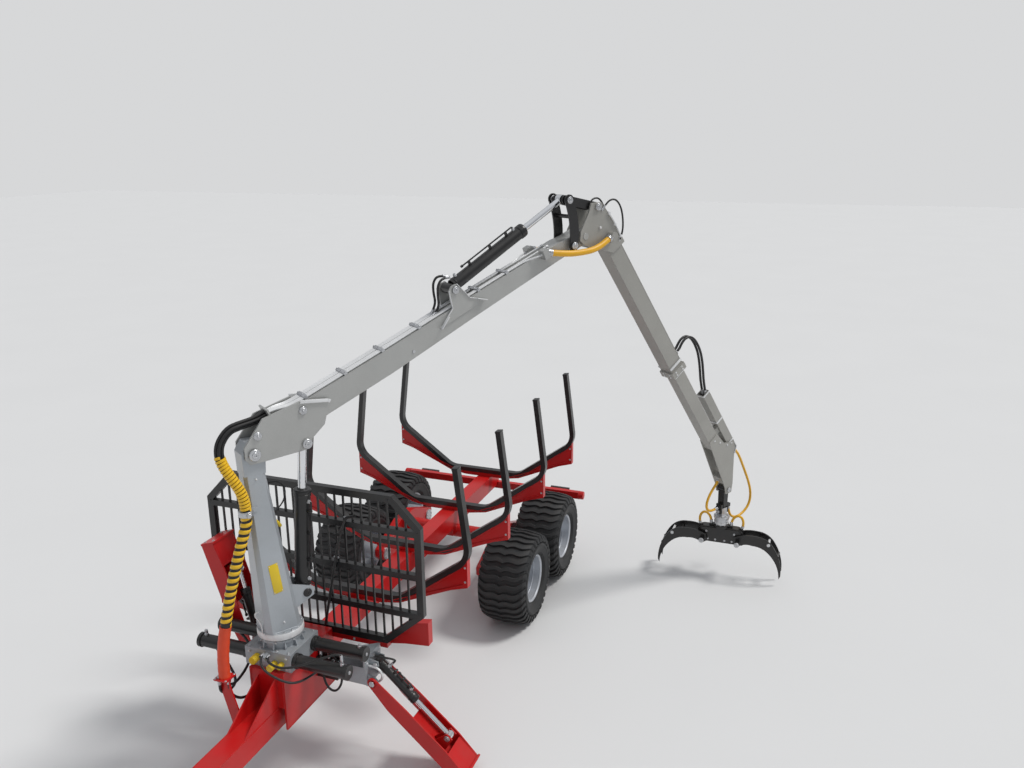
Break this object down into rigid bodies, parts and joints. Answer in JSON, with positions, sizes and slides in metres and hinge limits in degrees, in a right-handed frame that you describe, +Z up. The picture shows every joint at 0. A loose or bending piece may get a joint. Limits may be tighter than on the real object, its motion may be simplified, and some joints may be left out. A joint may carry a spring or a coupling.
{
  "type": "forestry trailer with timber crane",
  "caption": "Tandem-bogie forestry trailer with a headboard, stakes, outriggers and a slewing knuckle-boom timber crane with telescope and grapple.",
  "frame": {"origin": "centre of the towing eye's vertical bore", "axes": "+X forward along the drawbar, +Y to the trailer's left, +Z up along the towing eye's bore"},
  "size_m": [6.2087, 4.5943, 4.281],
  "materials": {
    "red_paint": "gloss",
    "cast_grey": "satin",
    "black_paint": "satin",
    "lamp_red": "gloss",
    "hose_rubber": "matte",
    "silver_paint": "gloss",
    "chrome": "polished",
    "tyre": "matte",
    "rim_silver": "satin",
    "hose_sleeve_yellow": "satin"
  },
  "bodies": {
    "chassis": {"spine": "red_paint", "drawbar": "red_paint", "towing_eye": "cast_grey", "stakes_1": "black_paint", "stakes_2": "black_paint", "stakes_3": "black_paint", "stakes_4": "black_paint", "bunk_1": "red_paint", "bunk_2": "red_paint", "bunk_3": "red_paint", "bunk_4": "red_paint", "headboard": "black_paint", "headboard_foot": "red_paint", "slew_housing": "cast_grey", "slew_cylinder_front": "black_paint", "slew_cylinder_rear": "black_paint", "outrigger_box": "black_paint", "rear_bar": "red_paint", "lamp_left": "lamp_red", "lamp_right": "lamp_red", "hoses_pillar": "hose_rubber"},
    "beam_left": {"beam_left": "silver_paint"},
    "leg_left": {"leg_left": "red_paint"},
    "leg_barrel_left": {"leg_barrel_left": "black_paint"},
    "leg_rod_left": {"leg_rod_left": "chrome"},
    "beam_right": {"beam_right": "silver_paint"},
    "leg_right": {"leg_right": "red_paint"},
    "leg_barrel_right": {"leg_barrel_right": "black_paint"},
    "leg_rod_right": {"leg_rod_right": "chrome"},
    "bogie_left": {"bogie_left": "red_paint"},
    "wheel_front_left": {"tyre_front_left": "tyre", "rim_front_left": "rim_silver"},
    "wheel_rear_left": {"tyre_rear_left": "tyre", "rim_rear_left": "rim_silver"},
    "bogie_right": {"bogie_right": "red_paint"},
    "wheel_front_right": {"tyre_front_right": "tyre", "rim_front_right": "rim_silver"},
    "wheel_rear_right": {"tyre_rear_right": "tyre", "rim_rear_right": "rim_silver"},
    "pillar": {"pillar": "silver_paint", "hoses_heel": "hose_rubber"},
    "main_boom": {"main_boom": "silver_paint", "hoses_knuckle": "hose_sleeve_yellow"},
    "lift_barrel": {"lift_barrel": "black_paint"},
    "lift_rod": {"lift_rod": "chrome"},
    "outer_boom": {"outer_boom": "silver_paint", "hoses_telescope": "hose_rubber"},
    "rocker": {"rocker": "black_paint"},
    "coupler": {"coupler": "black_paint"},
    "fold_barrel": {"fold_barrel": "black_paint"},
    "fold_rod": {"fold_rod": "chrome"},
    "telescope": {"telescope": "silver_paint", "hoses_hanger": "hose_sleeve_yellow"},
    "hanger": {"hanger": "black_paint"},
    "rotator": {"rotator": "silver_paint"},
    "grapple_body": {"grapple_body": "black_paint", "hoses_grapple": "hose_rubber"},
    "claw_a": {"claw_a": "black_paint"},
    "claw_b": {"claw_b": "black_paint"}
  },
  "joints": [
    {"name": "beam_slide_left", "type": "slide", "parent": "chassis", "child": "beam_left", "axis": [0, -1, 0], "range_m": [0, 0.188]},
    {"name": "leg_hinge_left", "type": "hinge", "parent": "beam_left", "child": "leg_left", "pos_m": [-1.815, 0.65, 0.17], "axis": [1, 0, 0], "range_deg": [0, 114]},
    {"name": "leg_barrel_hinge_left", "type": "hinge", "parent": "beam_left", "child": "leg_barrel_left", "pos_m": [-1.815, 0.65, 0.295], "axis": [1, 0, 0], "range_deg": [-0.5, 114.84]},
    {"name": "leg_rod_slide_left", "type": "slide", "parent": "leg_barrel_left", "child": "leg_rod_left", "axis": [0, 0.739, -0.6738], "range_m": [-0.22134, 0.002]},
    {"name": "beam_slide_right", "type": "slide", "parent": "chassis", "child": "beam_right", "axis": [0, -1, 0], "range_m": [0, 0.188]},
    {"name": "leg_hinge_right", "type": "hinge", "parent": "beam_right", "child": "leg_right", "pos_m": [-1.815, -0.462, 0.17], "axis": [1, 0, 0], "range_deg": [0, 114]},
    {"name": "leg_barrel_hinge_right", "type": "hinge", "parent": "beam_right", "child": "leg_barrel_right", "pos_m": [-1.815, -0.462, 0.295], "axis": [1, 0, 0], "range_deg": [-0.5, 124.49]},
    {"name": "leg_rod_slide_right", "type": "slide", "parent": "leg_barrel_right", "child": "leg_rod_right", "axis": [0, -0.2274, 0.9738], "range_m": [-0.002, 0.19165]},
    {"name": "bogie_rock_left", "type": "hinge", "parent": "chassis", "child": "bogie_left", "pos_m": [-4.62, 0.6, 0.05], "axis": [0, 1, 0], "range_deg": [-12, 12]},
    {"name": "wheel_front_left_spin", "type": "hinge", "parent": "bogie_left", "child": "wheel_front_left", "pos_m": [-4.11, 0.925, -0.08], "axis": [0, 1, 0], "continuous": true},
    {"name": "wheel_rear_left_spin", "type": "hinge", "parent": "bogie_left", "child": "wheel_rear_left", "pos_m": [-5.13, 0.925, -0.08], "axis": [0, 1, 0], "continuous": true},
    {"name": "bogie_rock_right", "type": "hinge", "parent": "chassis", "child": "bogie_right", "pos_m": [-4.62, -0.6, 0.05], "axis": [0, 1, 0], "range_deg": [-12, 12]},
    {"name": "wheel_front_right_spin", "type": "hinge", "parent": "bogie_right", "child": "wheel_front_right", "pos_m": [-4.11, -0.925, -0.08], "axis": [0, 1, 0], "continuous": true},
    {"name": "wheel_rear_right_spin", "type": "hinge", "parent": "bogie_right", "child": "wheel_rear_right", "pos_m": [-5.13, -0.925, -0.08], "axis": [0, 1, 0], "continuous": true},
    {"name": "slew", "type": "hinge", "parent": "chassis", "child": "pillar", "pos_m": [-1.5, 0, 0.63], "axis": [0, 0, 1], "range_deg": [-152, 218], "deforming": ["hoses_pillar"]},
    {"name": "boom_lift", "type": "hinge", "parent": "pillar", "child": "main_boom", "pos_m": [-1.40775, -0.05991, 2.08], "axis": [0.5446, 0.8387, 0], "range_deg": [-38, 50], "deforming": ["hoses_heel"]},
    {"name": "lift_barrel_hinge", "type": "hinge", "parent": "pillar", "child": "lift_barrel", "pos_m": [-1.66773, 0.10893, 0.901], "axis": [0.5446, 0.8387, 0], "range_deg": [-2.35, 2.94]},
    {"name": "lift_rod_slide", "type": "slide", "parent": "lift_barrel", "child": "lift_rod", "axis": [-0.0583, 0.0379, 0.9976], "range_m": [-0.24406, 0.32051]},
    {"name": "knuckle_fold", "type": "hinge", "parent": "main_boom", "child": "outer_boom", "pos_m": [-3.94973, 1.59087, 3.36907], "axis": [-0.5446, -0.8387, 0], "range_deg": [-60, 60], "deforming": ["hoses_knuckle"]},
    {"name": "rocker_hinge", "type": "hinge", "parent": "main_boom", "child": "rocker", "pos_m": [-3.83065, 1.51354, 3.30303], "axis": [-0.5446, -0.8387, 0], "range_deg": [-44.87, 44.87]},
    {"name": "coupler_hinge", "type": "hinge", "parent": "rocker", "child": "coupler", "pos_m": [-3.78106, 1.48134, 3.68498], "axis": [-0.5446, -0.8387, 0], "range_deg": [-12.21, 12.21]},
    {"name": "fold_barrel_hinge", "type": "hinge", "parent": "main_boom", "child": "fold_barrel", "pos_m": [-2.83266, 0.86544, 3.05405], "axis": [-0.5446, -0.8387, 0], "range_deg": [-3.8, 3.8]},
    {"name": "fold_rod_slide", "type": "slide", "parent": "fold_barrel", "child": "fold_rod", "axis": [-0.7324, 0.4756, 0.4872], "range_m": [-0.27357, 0.27357]},
    {"name": "telescope_slide", "type": "slide", "parent": "outer_boom", "child": "telescope", "axis": [-0.481, 0.3124, -0.8192], "range_m": [-0.95, 0.3], "deforming": ["hoses_telescope"]},
    {"name": "hanger_swing", "type": "hinge", "parent": "telescope", "child": "hanger", "pos_m": [-5.74374, 2.75591, 0.47991], "axis": [0.5446, 0.8387, 0], "range_deg": [-60, 60], "deforming": ["hoses_hanger"]},
    {"name": "rotator_swing", "type": "hinge", "parent": "hanger", "child": "rotator", "pos_m": [-5.74374, 2.75591, 0.21991], "axis": [-0.8387, 0.5446, 0], "range_deg": [-35, 35]},
    {"name": "grapple_spin", "type": "hinge", "parent": "rotator", "child": "grapple_body", "pos_m": [-5.74374, 2.75591, 0.05991], "axis": [0, 0, 1], "continuous": true},
    {"name": "claw_a_hinge", "type": "hinge", "parent": "grapple_body", "child": "claw_a", "pos_m": [-5.74374, 2.94591, -0.11009], "axis": [-1, 0, 0], "range_deg": [-8, 72]},
    {"name": "claw_b_hinge", "type": "hinge", "parent": "grapple_body", "child": "claw_b", "pos_m": [-5.74374, 2.56591, -0.11009], "axis": [1, 0, 0], "range_deg": [-8.5, 72.5]}
  ],
  "couplings": [
    {"joint": "leg_barrel_hinge_left", "follows": "leg_hinge_left", "ratio": 1.003},
    {"joint": "leg_rod_slide_left", "follows": "leg_hinge_left", "m_per_rad": -0.11024},
    {"joint": "leg_barrel_hinge_right", "follows": "leg_hinge_right", "ratio": 1.0876},
    {"joint": "leg_rod_slide_right", "follows": "leg_hinge_right", "m_per_rad": 0.09532},
    {"joint": "lift_barrel_hinge", "follows": "boom_lift", "ratio": 0.04877},
    {"joint": "lift_rod_slide", "follows": "boom_lift", "m_per_rad": 0.36498},
    {"joint": "rocker_hinge", "follows": "knuckle_fold", "ratio": 0.73944},
    {"joint": "coupler_hinge", "follows": "knuckle_fold", "ratio": -0.19514},
    {"joint": "fold_barrel_hinge", "follows": "knuckle_fold", "ratio": 0.05494},
    {"joint": "fold_rod_slide", "follows": "knuckle_fold", "m_per_rad": 0.25933},
    {"joint": "claw_b_hinge", "follows": "claw_a_hinge", "ratio": 1}
  ]
}
